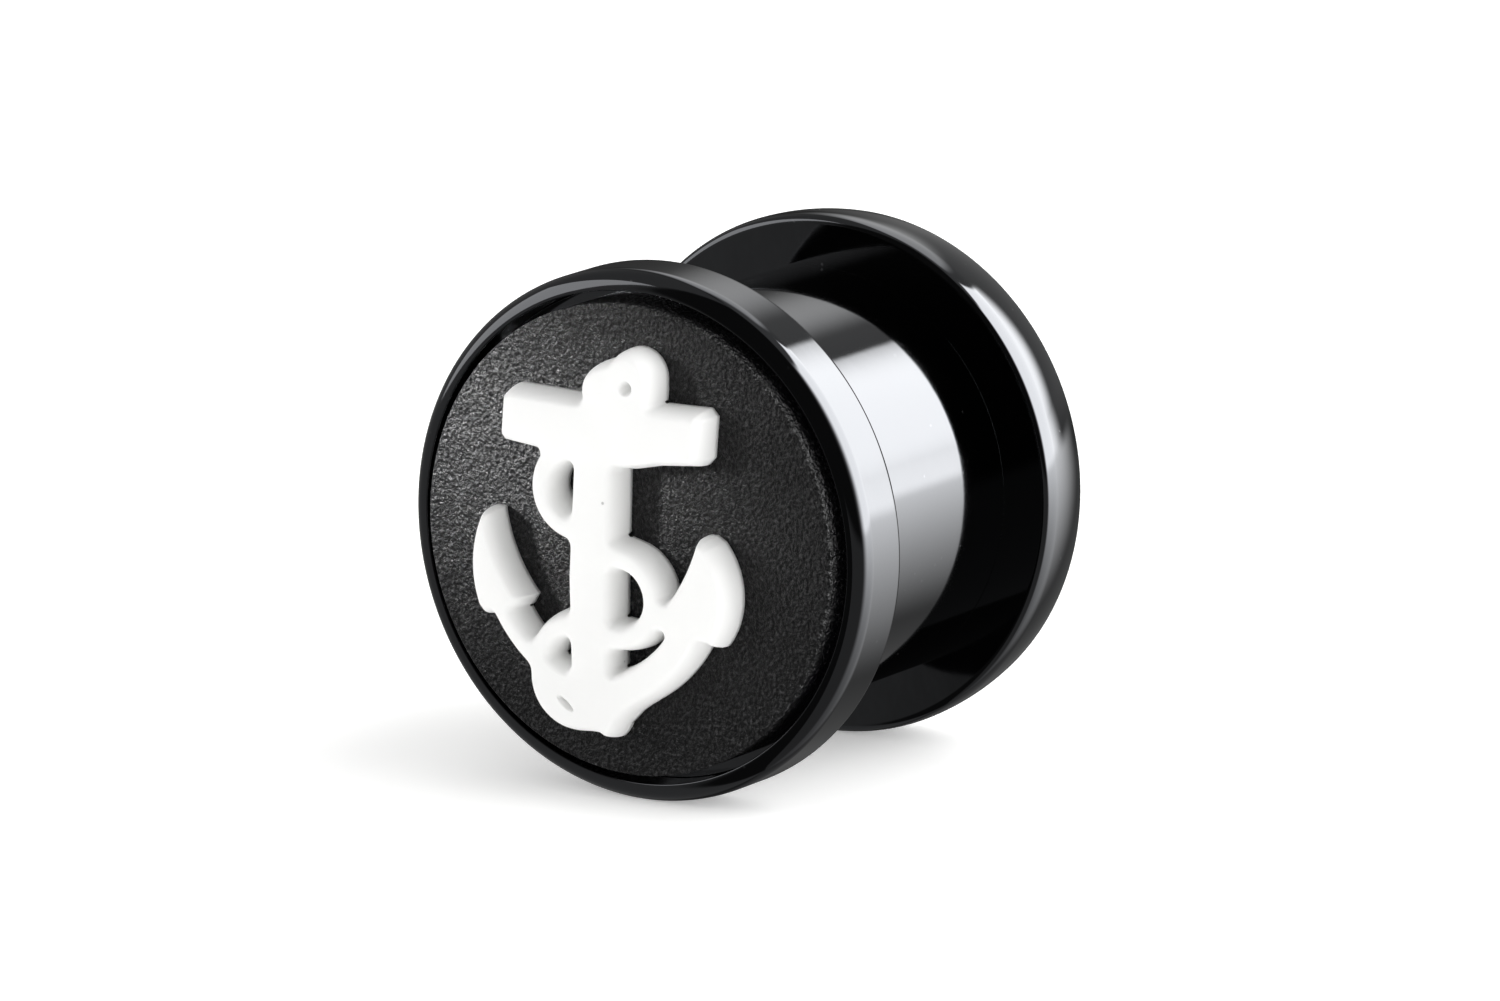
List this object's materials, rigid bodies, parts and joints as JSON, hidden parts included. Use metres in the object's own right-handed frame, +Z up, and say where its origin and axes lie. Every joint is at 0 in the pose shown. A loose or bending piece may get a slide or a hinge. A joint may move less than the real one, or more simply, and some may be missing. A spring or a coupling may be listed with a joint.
{
  "type": "ear gauge plug",
  "caption": "Round ear gauge plug with a black steel barrel, equal flanges, a rubber face disc with a raised anchor and rope, and a back flange that comes off.",
  "frame": {"origin": "on the surface that the plug lies on, under the middle of its length", "axes": "the plug's axis lies along Y, 7.47 mm above the surface; the front with the anchor faces -Y and the back flange is at +Y; +Z is up, towards the anchor's rope end; +X is to the right as seen from the front"},
  "size_m": [0.015, 0.0134, 0.015],
  "materials": {
    "black_steel": "mirror-polished steel with a black coating",
    "black_rubber": "matt, with a fine grain",
    "white_rubber": "soft matt white"
  },
  "bodies": {
    "front": {"barrel_with_front_flange": "black_steel", "face_disc": "black_rubber", "anchor_relief": "white_rubber"},
    "back": {"back_flange": "black_steel"}
  },
  "joints": [
    {"name": "back_slide", "type": "slide", "parent": "front", "child": "back", "axis": [0, 1, 0], "range_m": [0, 0.012]}
  ]
}
